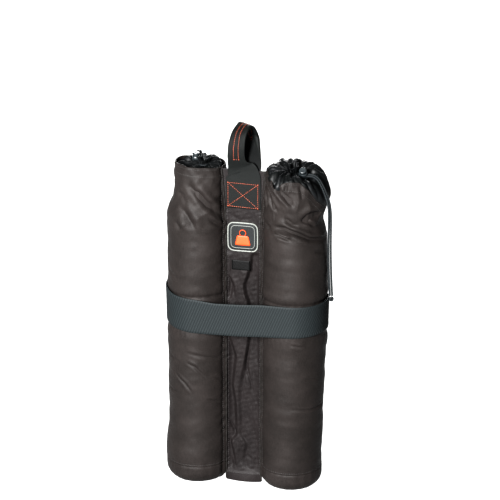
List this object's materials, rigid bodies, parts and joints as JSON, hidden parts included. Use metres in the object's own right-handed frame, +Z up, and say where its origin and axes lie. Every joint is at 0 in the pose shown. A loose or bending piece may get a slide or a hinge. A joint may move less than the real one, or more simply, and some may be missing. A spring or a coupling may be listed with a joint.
{
  "type": "weight bag",
  "caption": "Twin-tube sand weight bag for a canopy leg: drawstring throats, carry handle, sewn centre web and a hook-and-loop strap.",
  "frame": {"origin": "on the floor, at the middle of the bag's footprint, midway between the two tubes", "axes": "+Z up along the tubes, front of the bag towards -Y, +X to the right of someone facing the front"},
  "size_m": [0.2449, 0.1028, 0.549],
  "materials": {
    "tube_fabric": "coated woven polyester, warm dark grey, slight sheen",
    "web_fabric": "coated woven polyester, two layers, stitched",
    "sand": "dry washed sand",
    "nylon": "thin black nylon, gathered, satin sheen",
    "strap_webbing": "ribbed polypropylene webbing, slate grey",
    "handle_webbing": "flat nylon webbing, dark grey, orange stitching",
    "drawcord": "braided polyester cord, black",
    "lock_plastic": "moulded acetal, dark grey",
    "spring_steel": "bright spring wire",
    "badge": "woven badge, pale grey border and orange pictogram",
    "label": "plain black damask label",
    "hook_and_loop": "black hook and loop tape"
  },
  "bodies": {
    "root": {"left_tube_sleeve": "tube_fabric", "left_base_panel": "tube_fabric", "left_sand_fill": "sand", "left_collar": "nylon", "left_drawcord_ring": "drawcord", "left_web_seam": "web_fabric", "right_tube_sleeve": "tube_fabric", "right_base_panel": "tube_fabric", "right_sand_fill": "sand", "right_collar": "nylon", "right_drawcord_ring": "drawcord", "right_web_seam": "web_fabric", "web_front_panel": "web_fabric", "web_rear_panel": "web_fabric", "handle_front_patch": "handle_webbing", "handle_rear_patch": "handle_webbing", "badge_patch": "badge", "woven_label": "label", "strap_band": "strap_webbing", "strap_loop_patch": "hook_and_loop", "left_drawcord_a": "drawcord", "left_drawcord_b": "drawcord", "left_cord_knot": "drawcord", "right_drawcord_a": "drawcord", "right_drawcord_b": "drawcord", "right_cord_knot": "drawcord"},
    "handle": {"handle_grip": "handle_webbing"},
    "strap_tail": {"strap_tail": "strap_webbing", "strap_hook_patch": "hook_and_loop"},
    "right_lock": {"right_lock_barrel": "lock_plastic", "right_lock_spring": "spring_steel"},
    "right_button": {"right_lock_button": "lock_plastic"},
    "left_lock": {"left_lock_barrel": "lock_plastic", "left_lock_spring": "spring_steel"},
    "left_button": {"left_lock_button": "lock_plastic"}
  },
  "joints": [
    {"name": "handle_fold", "type": "hinge", "parent": "root", "child": "handle", "pos_m": [0, -0.0132, 0.4815], "axis": [1, 0, 0], "range_deg": [-60, 60], "stiffness_Nm_per_rad": 0.05},
    {"name": "strap_tail_open", "type": "hinge", "parent": "root", "child": "strap_tail", "pos_m": [0.0618, 0.04615, 0.2655], "axis": [0, 0, -1], "range_deg": [0, 100]},
    {"name": "right_lock_slide", "type": "slide", "parent": "root", "child": "right_lock", "axis": [1, 0, 0], "range_m": [0, 0.004]},
    {"name": "right_button_press", "type": "slide", "parent": "right_lock", "child": "right_button", "axis": [0, 0.5, -0.866], "range_m": [0, 0.0032], "stiffness_N_per_m": 300, "deforming": ["right_lock_spring"]},
    {"name": "left_lock_slide", "type": "slide", "parent": "root", "child": "left_lock", "axis": [0, 1, 0], "range_m": [0, 0.0025]},
    {"name": "left_button_press", "type": "slide", "parent": "left_lock", "child": "left_button", "axis": [0, 0, -1], "range_m": [0, 0.0032], "stiffness_N_per_m": 300, "deforming": ["left_lock_spring"]}
  ]
}
